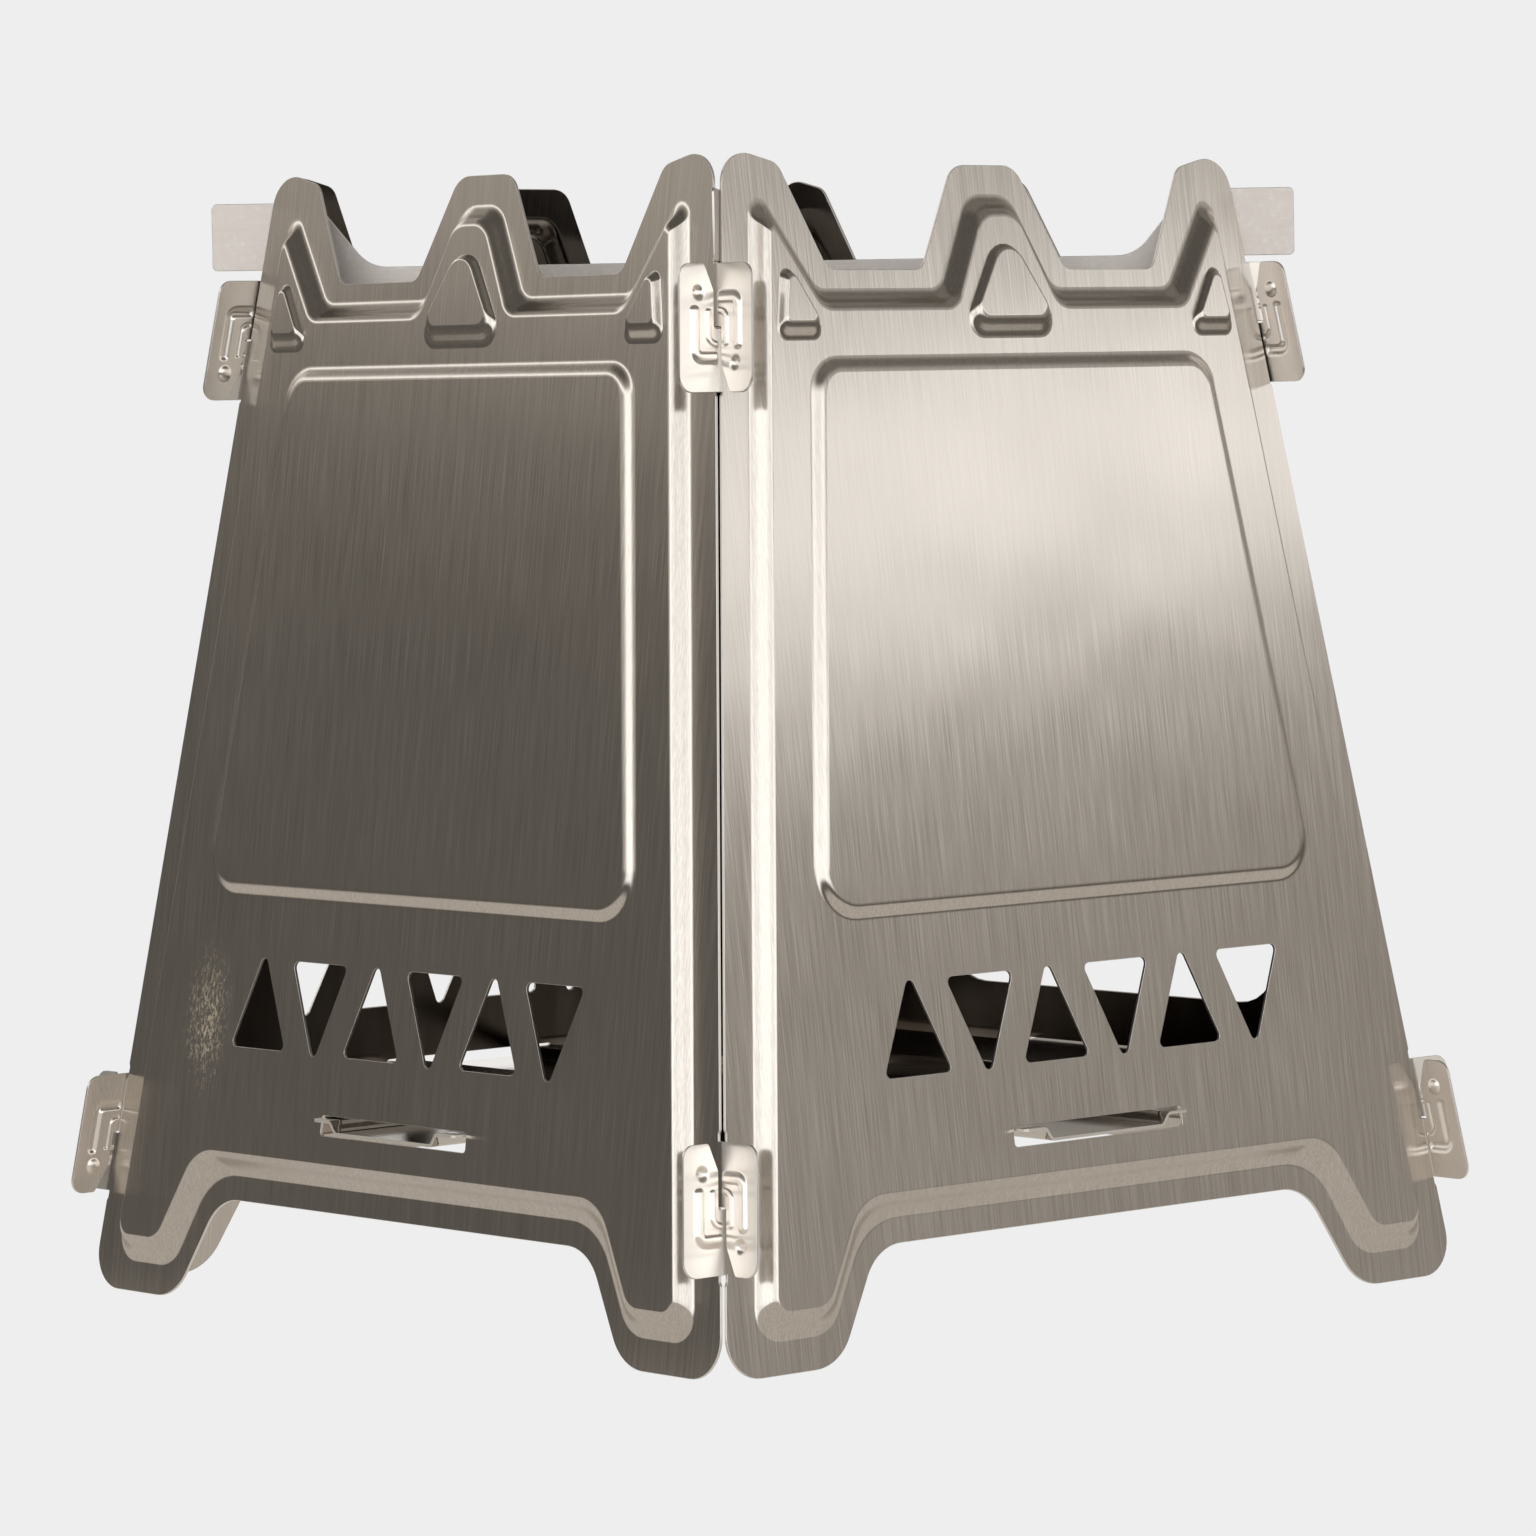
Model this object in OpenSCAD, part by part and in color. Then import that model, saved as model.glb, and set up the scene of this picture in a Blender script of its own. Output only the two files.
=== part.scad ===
/* [Panels] */
// Half width of the stove at the ground, to the middle of the sheet
base_half = 78.6; // [70:0.1:90]
// Sine of the angle by which each panel leans inwards
lean = 0.134; // [0.05:0.001:0.2]
// Thickness of the panel sheet
sheet_t = 0.5; // [0.3:0.1:1.2]
// Gap from the corner line to the edge of a panel, along the panel
corner_gap = 0.65; // [0.5:0.05:2.5]
// Slant height of the side spikes before rounding
spike_top = 182.9; // [150:0.1:200]
// Slant height of the notch floor in the crown
notch_floor = 163.9; // [140:0.1:175]
// Slant height of the arch between the feet
arch_top = 16.9; // [8:0.1:30]

/* [Pressed relief] */
// Height of the pressed field above the rim
field_h = 2.5; // [1:0.1:4]
// Height of the plateau above the field
plateau_h = 0.9; // [0.5:0.1:2]
// Height of the three crown pads above the field
pad_h = 1.2; // [0.5:0.1:2]
// How far the walls of the field stand inside the foot of their slope
wall_in = 1.2; // [0:0.1:3]

/* [Air openings] */
// Pitch of the air triangles
vent_pitch = 14.43; // [10:0.01:18]
// Half width of an air triangle at its base
vent_half = 7.05; // [4:0.05:9]
// Lowest edge of the air triangles
vent_low = 41.45; // [35:0.05:60]
// Highest edge of the air triangles
vent_high = 55.75; // [45:0.05:80]
// Half width of the feeding opening at its sill
feed_half = 42; // [20:0.5:50]
// How far the feeding opening sits to the side of the panel's middle
feed_shift = -3.3; // [-8:0.1:8]
// Slant height of the top of the feeding opening
feed_top = 114; // [80:1:140]

/* [Tab slots] */
// Half width of the slot for a base tab
slot_half = 18.0; // [10:0.1:25]
// Lowest edge of the slot
slot_low = 28.95; // [20:0.05:40]
// Highest edge of the slot
slot_high = 32.1; // [22:0.05:45]

/* [Hinge leaves] */
// Slant height of the middle of the lower hinges
hinge_low = 25.4; // [20:0.1:40]
// Slant height of the middle of the upper hinges
hinge_high = 155.3; // [130:0.1:160]
// Half height of a hinge leaf
leaf_half = 9.7; // [6:0.1:14]
// How far a leaf stands out past the edge of its panel
leaf_out = 8.35; // [6:0.05:14]
// Clear gap from the corner line to the loose part of a leaf
slit_out = 1.0; // [0.6:0.05:2]
// Half of the gap between the two crossing bridges
bridge_gap = 0.15; // [0.05:0.05:0.5]

/* [Base plate] */
// Half width of the square base plate
plate_half = 73.2; // [60:0.1:78]
// Height of the upper face of the base plate
plate_z = 31.95; // [28:0.05:40]
// Thickness of the base plate
plate_t = 0.5; // [0.3:0.1:1.2]
// Depth of the pressed cross in the base plate
plate_dish = 1.8; // [0.5:0.05:3]
// Distance from the centre to the end of a tab
tab_reach = 79.3; // [74:0.1:82]
// Half width of a tab
tab_half = 17.55; // [10:0.05:24]

/* [Pot supports] */
// Thickness of the two support strips
strip_t = 0.45; // [0.4:0.05:1.5]
// Distance from the centre to the end of a strip
strip_reach = 87.4; // [80:0.1:100]
// Underside of the lower strip's ends, where they rest over the hinges
strip_z = 164.6; // [150:0.1:175]
// How much lower the crossing strip sits
strip_step = 0.8; // [0:0.1:2]
// Height of the strip ends
strip_end_h = 10.8; // [6:0.1:16]
// Underside of the middle of the strips
strip_low = 152.9; // [140:0.1:160]

/* [Hidden] */
lean_c = sqrt(1 - lean * lean);
tilt = acos(lean);
lift = lean * sheet_t / 2;
t2 = sheet_t / 2;
arc_step = 14;
edge0 = base_half - corner_gap;

// half width of a panel's own edge at slant height v
function edge_u(v) = edge0 - lean * v;
function unit2(a) = a / norm(a);
function xy(p) = [p[0], p[1]];
function wrap(a) = a > 180 ? a - 360 : (a < -180 ? a + 360 : a);

// points that round one corner p1 between p0 and p2
function round_corner(p0, p1, p2, r) =
    r <= 0 ? [xy(p1)] :
    let (a = unit2(xy(p0) - xy(p1)), b = unit2(xy(p2) - xy(p1)),
         half = acos(max(-1, min(1, a * b))) / 2,
         tl = r / tan(half),
         c = xy(p1) + unit2(a + b) * (r / sin(half)),
         s = xy(p1) + a * tl - c, e = xy(p1) + b * tl - c,
         a0 = atan2(s[1], s[0]), da = wrap(atan2(e[1], e[0]) - a0),
         n = max(1, ceil(abs(da) / arc_step)))
    [for (i = [0:n]) c + r * [cos(a0 + da * i / n), sin(a0 + da * i / n)]];

// rounded outline of a list of [x, y, radius]
function rounded(P) = let (n = len(P))
    [for (i = [0:n - 1]) each round_corner(P[(i + n - 1) % n], P[i], P[(i + 1) % n], P[i][2])];

// the same outline moved inwards by d, for a list in counter-clockwise order
function inset(P, d) = let (n = len(P))
    [for (i = [0:n - 1])
        let (a = unit2(xy(P[i]) - xy(P[(i + n - 1) % n])), b = unit2(xy(P[(i + 1) % n]) - xy(P[i])),
             na = [-a[1], a[0]], nb = [-b[1], b[0]],
             q = xy(P[i]) + d * (na + nb) / (1 + na * nb),
             turn = a[0] * b[1] - a[1] * b[0])
        [q[0], q[1], turn > 0 ? max(P[i][2] - d, 0.25) : P[i][2] + d]];

// right half given from bottom to top, closed by its mirror image
function both(R) = let (n = len(R))
    concat(R, [for (i = [n - 1:-1:0]) [-R[i][0], R[i][1], R[i][2]]]);

outline = both([
    [46.0, arch_top, 8.5],
    [55.7, -0.3, 8.5],
    [edge_u(-0.3), -0.3, 6],
    [edge_u(spike_top), spike_top, 5.2],
    [42.6, spike_top - 2.7, 3],
    [34.6, notch_floor, 2.6],
    [15.2, notch_floor, 2.6],
    [6.6, spike_top - 2.7, 4.2]]);

field_foot = both([
    [47.4, arch_top + 3.7, 11],
    [56.6, 4.8, 6],
    [edge_u(4.8) - 5.1, 4.8, 4],
    [edge_u(173) - 5.1, 173, 1.8],
    [47.2, 175.2, 1.8],
    [37.2, notch_floor - 2.7, 3],
    [12.3, notch_floor - 2.7, 3],
    [4.6, 175.5, 3.5]]);

plateau_foot = both([
    [62.5 - lean * 65.6, 65.6, 7.5],
    [62.5 - lean * 150.2, 150.2, 6]]);

pad_mid_foot = [[-11.2, 152.7, 2.9], [11.2, 152.7, 2.9], [0, 171.7, 4.3]];
pad_right_foot = [[38.2, 152.7, 1.8], [48.9, 152.7, 1.8], [46.2, 166.5, 1.5]];
pad_left_foot = [[-48.9, 152.7, 1.8], [-38.2, 152.7, 1.8], [-46.2, 166.5, 1.5]];

feed_outline = both([
    [feed_half, vent_low, 10],
    [feed_half - lean * (feed_top - vent_low), feed_top, 12]]);

function vent(i) = let (x = (i - 2.5) * vent_pitch)
    i % 2 == 0
    ? [[x - vent_half, vent_low, 0.9], [x + vent_half, vent_low, 0.9], [x, vent_high + 1.35, 0.9]]
    : [[x, vent_low - 1.6, 0.9], [x + vent_half, vent_high, 0.9], [x - vent_half, vent_high, 0.9]];

module slab(z0, z1) translate([0, 0, z0]) linear_extrude(z1 - z0) children();

module ring(P, w, z0, z1) slab(z0, z1) difference() {
    polygon(rounded(P));
    polygon(rounded(inset(P, w)));
}

// leaf on the right edge, joined to the panel over its upper half
module leaf_shape(vc) {
    lo = vc - leaf_half;
    hi = vc + leaf_half;
    g = corner_gap + slit_out;
    polygon(rounded([
        [edge_u(vc + bridge_gap) - 1, vc + bridge_gap, 0],
        [edge_u(vc + bridge_gap) + g, vc + bridge_gap, 0.4],
        [edge_u(lo + 4.2) + g, lo + 4.2, 0.8],
        [edge_u(lo) + g + 1.9, lo, 0.7],
        [edge_u(lo) + leaf_out, lo, 2],
        [edge_u(hi) + leaf_out, hi, 2],
        [edge_u(hi) - 1, hi, 0]]));
}

module leaves() {
    for (vc = [hinge_low, hinge_high]) {
        leaf_shape(vc);
        translate([0, 2 * vc]) rotate(180) leaf_shape_turned(vc);
    }
}

// the left leaf is the right leaf turned half a turn, on the left edge's own slant
module leaf_shape_turned(vc) {
    lo = vc - leaf_half;
    hi = vc + leaf_half;
    g = corner_gap + slit_out;
    function e(v) = edge_u(2 * vc - v);
    polygon(rounded([
        [e(vc + bridge_gap) - 1, vc + bridge_gap, 0],
        [e(vc + bridge_gap) + g, vc + bridge_gap, 0.4],
        [e(lo + 4.2) + g, lo + 4.2, 0.8],
        [e(lo) + g + 1.9, lo, 0.7],
        [e(lo) + leaf_out, lo, 2],
        [e(hi) + leaf_out, hi, 2],
        [e(hi) - 1, hi, 0]]));
}

module relief(P, z, h) {
    W = inset(P, wall_in * h / field_h);
    ring(W, sheet_t, z - t2, z + h + t2);
    slab(z + h - t2, z + h + t2) polygon(rounded(W));
}

// one stamped panel, lying flat with its outer face up
module panel_flat(feed) {
    W = inset(field_foot, wall_in);
    k = wall_in / field_h;
    difference() {
        union() {
            // rim and hinge leaves
            slab(-t2, t2) difference() {
                union() {
                    polygon(rounded(outline));
                    leaves();
                }
                polygon(rounded(inset(W, sheet_t)));
            }
            // wall round the field
            ring(W, sheet_t, -t2, field_h + t2);
            // the field itself
            slab(field_h - t2, field_h + t2) difference() {
                polygon(rounded(W));
                if (!feed) polygon(rounded(inset(plateau_foot, k * plateau_h + sheet_t)));
                for (P = [pad_mid_foot, pad_left_foot, pad_right_foot])
                    polygon(rounded(inset(P, k * pad_h + sheet_t)));
            }
            if (!feed) relief(plateau_foot, field_h, plateau_h);
            for (P = [pad_mid_foot, pad_left_foot, pad_right_foot])
                relief(P, field_h, pad_h);
        }
        if (feed)
            slab(-2, 8) translate([feed_shift, 0]) polygon(rounded(feed_outline));
        else
            for (i = [0:5]) slab(-2, 8) polygon(rounded(vent(i)));
        slab(-2, 8) polygon(rounded([
            [-slot_half, slot_low, 0.6], [slot_half, slot_low, 0.6],
            [slot_half, slot_high, 0.6], [-slot_half, slot_high, 0.6]]));
    }
}

module standing(turn) rotate([0, 0, turn]) translate([0, -base_half, lift]) rotate([tilt, 0, 0]) children();

module level_feet() difference() {
    children();
    translate([-120, -120, -20]) cube([240, 240, 20]);
}

module front_panel() color([0.62, 0.60, 0.57]) level_feet() standing(0) panel_flat(false);
module right_panel() color([0.74, 0.72, 0.69]) level_feet() standing(90) panel_flat(false);
module back_panel() color([0.62, 0.60, 0.57]) level_feet() standing(180) panel_flat(true);
module left_panel() color([0.74, 0.72, 0.69]) level_feet() standing(270) panel_flat(false);

plate_outline = let (c = plate_half - 14)
    [for (q = [0:3]) for (p = [
        [plate_half, -tab_half - 4, 0], [plate_half, -tab_half, 1],
        [tab_reach, -tab_half, 0.6], [tab_reach, tab_half, 0.6],
        [plate_half, tab_half, 1], [plate_half, tab_half + 4, 0],
        [plate_half, plate_half, 16]])
        [p[0] * cos(q * 90) - p[1] * sin(q * 90), p[0] * sin(q * 90) + p[1] * cos(q * 90), p[2]]];

// round middle with arms to the front, right and left tabs: the part of the plate that is pressed down
module cross_shape(in) {
    circle(r = 46 - in, $fn = 72);
    square([2 * tab_reach + 4, 2 * (12.6 - in)], center = true);
    translate([in - 12.6, -tab_reach - 2]) square([2 * (12.6 - in), tab_reach + 2]);
}

module base_plate() color([0.55, 0.53, 0.50]) {
    z0 = plate_z - plate_t;
    union() {
        slab(z0, plate_z) difference() {
            polygon(rounded(plate_outline));
            cross_shape(plate_t);
        }
        slab(z0 - plate_dish, plate_z) intersection() {
            polygon(rounded(plate_outline));
            difference() {
                cross_shape(0);
                cross_shape(plate_t);
            }
        }
        slab(z0 - plate_dish, z0 - plate_dish + plate_t) intersection() {
            polygon(rounded(plate_outline));
            cross_shape(0);
        }
    }
}

strip_top = strip_z + strip_end_h;
strip_mid = strip_z + 0.3;
strip_half = [
    [0, strip_low, 0],
    [71.0, strip_low, 3],
    [75.6, strip_z, 0.6],
    [strip_reach, strip_z, 0.8],
    [strip_reach, strip_top, 0.8],
    [70.3, strip_top, 6],
    [61.8, strip_mid, 6],
    [0, strip_mid, 0]];

strip_outline = let (n = len(strip_half))
    concat([for (i = [1:n - 2]) strip_half[i]],
           [for (i = [n - 2:-1:1]) [-strip_half[i][0], strip_half[i][1], strip_half[i][2]]]);

lap_z = (strip_low + strip_mid - strip_step) / 2;
lap_w = strip_t + 0.2;

module strip(turn, open_top) rotate([0, 0, turn]) rotate([90, 0, 0]) translate([0, 0, -strip_t / 2])
    linear_extrude(strip_t) difference() {
        translate([0, open_top ? 0 : -strip_step]) polygon(rounded(strip_outline));
        if (open_top) translate([-lap_w / 2, lap_z - 0.1]) square([lap_w, 20]);
        else translate([-lap_w / 2, lap_z + 0.1 - 20]) square([lap_w, 20]);
    }

module lower_pot_support() color([0.82, 0.76, 0.72]) strip(45, true);
module upper_pot_support() color([0.85, 0.80, 0.76]) strip(-45, false);

front_panel();
right_panel();
back_panel();
left_panel();
base_plate();
lower_pot_support();
upper_pot_support();
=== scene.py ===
import math

import bpy
import numpy as np
from mathutils import Matrix, Vector
from mathutils.geometry import delaunay_2d_cdt


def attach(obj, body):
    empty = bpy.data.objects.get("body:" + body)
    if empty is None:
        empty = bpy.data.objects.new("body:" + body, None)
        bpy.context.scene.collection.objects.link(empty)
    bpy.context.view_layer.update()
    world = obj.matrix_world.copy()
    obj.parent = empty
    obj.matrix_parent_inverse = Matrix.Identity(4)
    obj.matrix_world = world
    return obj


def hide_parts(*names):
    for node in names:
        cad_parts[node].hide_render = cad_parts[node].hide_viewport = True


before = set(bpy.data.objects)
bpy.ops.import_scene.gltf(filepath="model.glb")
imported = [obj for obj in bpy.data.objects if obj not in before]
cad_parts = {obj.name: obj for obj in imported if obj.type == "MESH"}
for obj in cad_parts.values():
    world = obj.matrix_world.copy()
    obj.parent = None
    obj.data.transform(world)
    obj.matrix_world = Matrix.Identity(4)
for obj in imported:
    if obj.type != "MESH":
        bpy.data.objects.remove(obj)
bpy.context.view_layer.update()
scene = bpy.context.scene

# ---------------------------------------------------------------- camera
cam_data = bpy.data.cameras.new("camera")
cam = bpy.data.objects.new("camera", cam_data)
scene.collection.objects.link(cam)
right = Vector((0.66331514, 0.74812561, -0.01791929))
up = Vector((-0.03288417, 0.05306182, 0.99804964))
back = Vector((0.74761732, -0.66143217, 0.0597982))
turn = Matrix((right, up, back)).transposed().to_4x4()
cam.matrix_world = Matrix.Translation((0.78544099, -0.69318409, 0.14600646)) @ turn
cam_data.sensor_fit = "HORIZONTAL"
cam_data.sensor_width = 36.0
cam_data.lens = 151.7543
cam_data.clip_start = 0.01
cam_data.clip_end = 50.0
scene.camera = cam
scene.view_settings.view_transform = "Standard"
scene.view_settings.look = "None"

# ---------------------------------------------------------------- sizes in millimetres
BASE = 78.6
S = 0.134
C = math.sqrt(1 - S * S)
T = 0.5
LIFT = S * T / 2
GAP = 0.65
EDGE0 = BASE - GAP
FIELD = 2.5
PLATEAU = 0.9
PAD = 1.2
HINGES = (25.4, 155.3)
LEAF = 9.7
LEAF_OUT = 8.35


def edge(v):
    return EDGE0 - S * v


# ---------------------------------------------------------------- outlines
def loop(P, k=7):
    """Rounded outline of corners (x, y, radius) in counter-clockwise order: points and inward directions, k + 1 for each corner."""
    n = len(P)
    pts, inward = [], []
    for i in range(n):
        p0, p1, p2 = (np.array(P[(i + j) % n][:2], float) for j in (-1, 0, 1))
        r = max(P[i][2], 0.02)
        a = (p0 - p1) / np.linalg.norm(p0 - p1)
        b = (p2 - p1) / np.linalg.norm(p2 - p1)
        half = math.acos(max(-1.0, min(1.0, float(a @ b)))) / 2
        c = p1 + (a + b) / np.linalg.norm(a + b) * (r / math.sin(half))
        s, e = p1 + a * (r / math.tan(half)) - c, p1 + b * (r / math.tan(half)) - c
        a0 = math.atan2(s[1], s[0])
        da = (math.atan2(e[1], e[0]) - a0 + math.pi) % (2 * math.pi) - math.pi
        sign = -1.0 if da > 0 else 1.0
        for j in range(k + 1):
            d = np.array([math.cos(a0 + da * j / k), math.sin(a0 + da * j / k)])
            pts.append(c + r * d)
            inward.append(sign * d)
    return np.array(pts), np.array(inward)


def ring_of(centre, r, k=24):
    a = np.arange(k) * 2 * math.pi / k
    d = np.stack([np.cos(a), np.sin(a)], 1)
    return np.array(centre) + r * d, -d


def mirrored(R):
    return list(R) + [(-x, y, r) for x, y, r in reversed(R)]


def inside(points, poly):
    x, y = points[:, 0][:, None], points[:, 1][:, None]
    x0, y0 = poly[:, 0][None], poly[:, 1][None]
    x1, y1 = np.roll(poly[:, 0], -1)[None], np.roll(poly[:, 1], -1)[None]
    cross = (y0 > y) != (y1 > y)
    with np.errstate(divide="ignore", invalid="ignore"):
        at = (x1 - x0) * (y - y0) / (y1 - y0) + x0
    return (np.where(cross, x < at, False).sum(1) % 2) == 1


def profile(t, f0, f1):
    """Height share and its slope across a pressed wall: a curve at the foot, a straight part and a curve at the top. f0 and f1 may be arrays."""
    m = 1 / (1 - (f0 + f1) / 2)
    h = np.where(t < f0, m * t * t / (2 * f0), np.where(t > 1 - f1, 1 - m * (1 - t) ** 2 / (2 * f1), m * (t - f0 / 2)))
    g = np.where(t < f0, m * t / f0, np.where(t > 1 - f1, m * (1 - t) / f1, m))
    return h, g


class Press:
    """One pressed step: from its foot outline to its top outline, h high. Where both lie on the line beyond `open_at`, the wall is left open."""

    def __init__(self, foot, top, h, curves=(0.42, 0.42), cuts=6, open_at=None, crown=None, arch=None):
        self.F, self.nF = foot
        self.Q, self.nQ = top
        self.h, self.open_at = h, open_at
        v = self.F[:, 1]
        f0, f1 = (c + 0.0 * v for c in curves)
        for ends, w in ((crown, (v - 152) / 8), (arch, (34 - v) / 12)):
            if ends:
                w = np.clip(w, 0, 1)
                w = w * w * (3 - 2 * w)
                f0, f1 = f0 + w * (ends[0] - f0), f1 + w * (ends[1] - f1)
        self.curves = (f0, f1)
        f0, f1 = curves
        if crown:
            self.steps = [i / (2 * cuts) for i in range(2 * cuts + 1)]
        else:
            self.steps = [f0 * i / cuts for i in range(cuts)] + [f0, 1 - f1] + [1 - f1 + f1 * (i + 1) / cuts for i in range(cuts)]


def build_sheet(name, outlines, holes, presses, t, level=0.0, bevel=0.07, bend=None):
    """A sheet of thickness t with pressed steps, in its own flat frame (u, v, w), as arrays. Outlines are joined, holes are cut, and presses raise what is inside them."""
    pts2, edges2 = [], []

    def add(poly):
        n0 = sum(len(p) for p in pts2)
        keep = [0]
        for i in range(1, len(poly)):
            if np.linalg.norm(poly[i] - poly[keep[-1]]) > 1e-4:
                keep.append(i)
        if np.linalg.norm(poly[keep[-1]] - poly[0]) <= 1e-4:
            keep.pop()
        q = poly[keep]
        pts2.append(q)
        edges2.extend((n0 + i, n0 + (i + 1) % len(q)) for i in range(len(q)))

    for p in [*outlines, *holes]:
        add(p)
    for p in presses:
        add(p.F)
        add(p.Q)
    flat = np.concatenate(pts2)
    verts, _, faces, orig, _, _ = delaunay_2d_cdt(
        [Vector(p) for p in flat], edges2, [], 0, 1e-5
    )
    xy = np.array([tuple(v) for v in verts], float)
    for i, o in enumerate(orig):
        if o:
            xy[i] = flat[o[0]]
    tri = np.array([f for f in faces], int)
    cen = xy[tri].mean(1)
    keep = np.zeros(len(cen), bool)
    for p in outlines:
        keep |= inside(cen, p)
    for p in holes:
        keep &= ~inside(cen, p)
    for p in presses:
        keep &= ~(inside(cen, p.F) & ~inside(cen, p.Q))
    tri = tri[keep]
    a, b, c = (xy[tri[:, i]] for i in range(3))
    area = (b - a)[:, 0] * (c - a)[:, 1] - (b - a)[:, 1] * (c - a)[:, 0]
    tri[area < 0] = tri[area < 0][:, ::-1]
    tri = tri[np.abs(area) > 1e-9]
    cen = xy[tri].mean(1)
    lev = np.full(len(cen), level)
    for p in presses:
        lev += p.h * inside(cen, p.Q)
    # one vertex for each place and level
    V, N, F = [], [], []
    seen = {}

    def vertex(x, y, w, n):
        key = (round(x * 2000), round(y * 2000), round(w * 2000))
        for dx in (0, -1, 1):
            for dy in (0, -1, 1):
                for dw in (0, -1, 1):
                    at = (key[0] + dx, key[1] + dy, key[2] + dw)
                    if at in seen:
                        q = V[seen[at]]
                        if abs(q[0] - x) < 6e-4 and abs(q[1] - y) < 6e-4 and abs(q[2] - w) < 6e-4:
                            return seen[at]
        seen[key] = len(V)
        V.append((x, y, w))
        N.append(n)
        return seen[key]

    for f, w in zip(tri, lev):
        F.append(tuple(vertex(xy[i][0], xy[i][1], w, (0, 0, 1)) for i in f))
    for p in presses:
        mid = p.F.mean(0)
        base = level
        for q in presses:
            if q is not p and inside(p.F[:1], q.Q)[0]:
                base += q.h
        rows = []
        for s in p.steps:
            hs, ms = profile(s, *p.curves)
            n2 = (1 - s) * p.nF + s * p.nQ
            n2 /= np.linalg.norm(n2, axis=1)[:, None]
            D = p.Q - p.F
            along = np.maximum((D * n2).sum(1), 0.05)
            g = (p.h * ms / along)[:, None] * n2
            row = []
            for j, xy_ in enumerate(p.F + s * D):
                nn = np.array([-g[j][0], -g[j][1], 1.0])
                nn /= np.linalg.norm(nn)
                row.append(vertex(xy_[0], xy_[1], base + p.h * hs[j], tuple(nn)))
            rows.append(row)
        n = len(rows[0])
        shut = [True] * n
        if p.open_at is not None:
            far = [min(np.abs(p.F[j]).max(), np.abs(p.Q[j]).max()) > p.open_at - 1e-6 for j in range(n)]
            shut = [not (far[j] and far[(j + 1) % n]) for j in range(n)]
        for r0, r1 in zip(rows[:-1], rows[1:]):
            for j in range(n):
                if not shut[j]:
                    continue
                a, b, c, d = r0[j], r0[(j + 1) % n], r1[(j + 1) % n], r1[j]
                f = []
                for q in (a, b, c, d):
                    if q not in f:
                        f.append(q)
                if len(f) >= 3:
                    F.append(tuple(f))
    V, N = np.array(V), np.array(N)
    if bend is not None:
        V, N = bend(V, N)
    # the free edges, with the sheet on their left
    count = {}
    for f in F:
        for i in range(len(f)):
            e = (f[i], f[(i + 1) % len(f)])
            count[e] = count.get(e, 0) + 1
    rim = [e for e in count if (e[1], e[0]) not in count]
    nxt, prv = {}, {}
    for a, b in rim:
        nxt[a], prv[b] = b, a
    out_dir = {}
    for a, b in rim:
        d = V[b] - V[a]
        o = np.cross(d / max(np.linalg.norm(d), 1e-9), (N[a] + N[b]) / 2)
        out_dir[(a, b)] = o / np.linalg.norm(o)
    push = {}
    for a in nxt:
        o = out_dir[(prv[a], a)] + out_dir[(a, nxt[a])]
        o /= max(np.linalg.norm(o), 1e-6)
        k = 1 / max(0.5, float(o @ out_dir[(a, nxt[a])]))
        push[a] = o * k
    nv = len(V)
    top, bottom = V + N * (t / 2), V - N * (t / 2)
    for a, o in push.items():
        top[a] -= o * bevel
        bottom[a] -= o * bevel
    verts_all = [top, bottom]
    idx = {a: i for i, a in enumerate(sorted(push))}
    order = sorted(push)
    hi = np.array([V[a] + N[a] * (t / 2 - bevel) for a in order])
    lo = np.array([V[a] - N[a] * (t / 2 - bevel) for a in order])
    P = np.concatenate([top, bottom, hi, lo])
    faces, norms, mats, uvs = [], [], [], []

    def put(f, ns, m):
        faces.append(f)
        norms.extend(ns)
        mats.append(m)

    for f in F:
        put(tuple(f), [N[i] for i in f], 0)
        put(tuple(nv + i for i in reversed(f)), [-N[i] for i in reversed(f)], 1)
    h0, l0 = 2 * nv, 2 * nv + len(order)
    for a, b in rim:
        oe = out_dir[(a, b)]
        oa, ob = (push[i] / np.linalg.norm(push[i]) for i in (a, b))
        if oa @ oe < 0.85:
            oa = oe
        if ob @ oe < 0.85:
            ob = oe
        ha, hb, la, lb = h0 + idx[a], h0 + idx[b], l0 + idx[a], l0 + idx[b]
        put((b, a, ha, hb), [N[b], N[a], oa, ob], 2)
        put((hb, ha, la, lb), [ob, oa, oa, ob], 2)
        put((lb, la, nv + a, nv + b), [ob, oa, -N[a], -N[b]], 2)
    return P, faces, np.array(norms), mats


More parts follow.
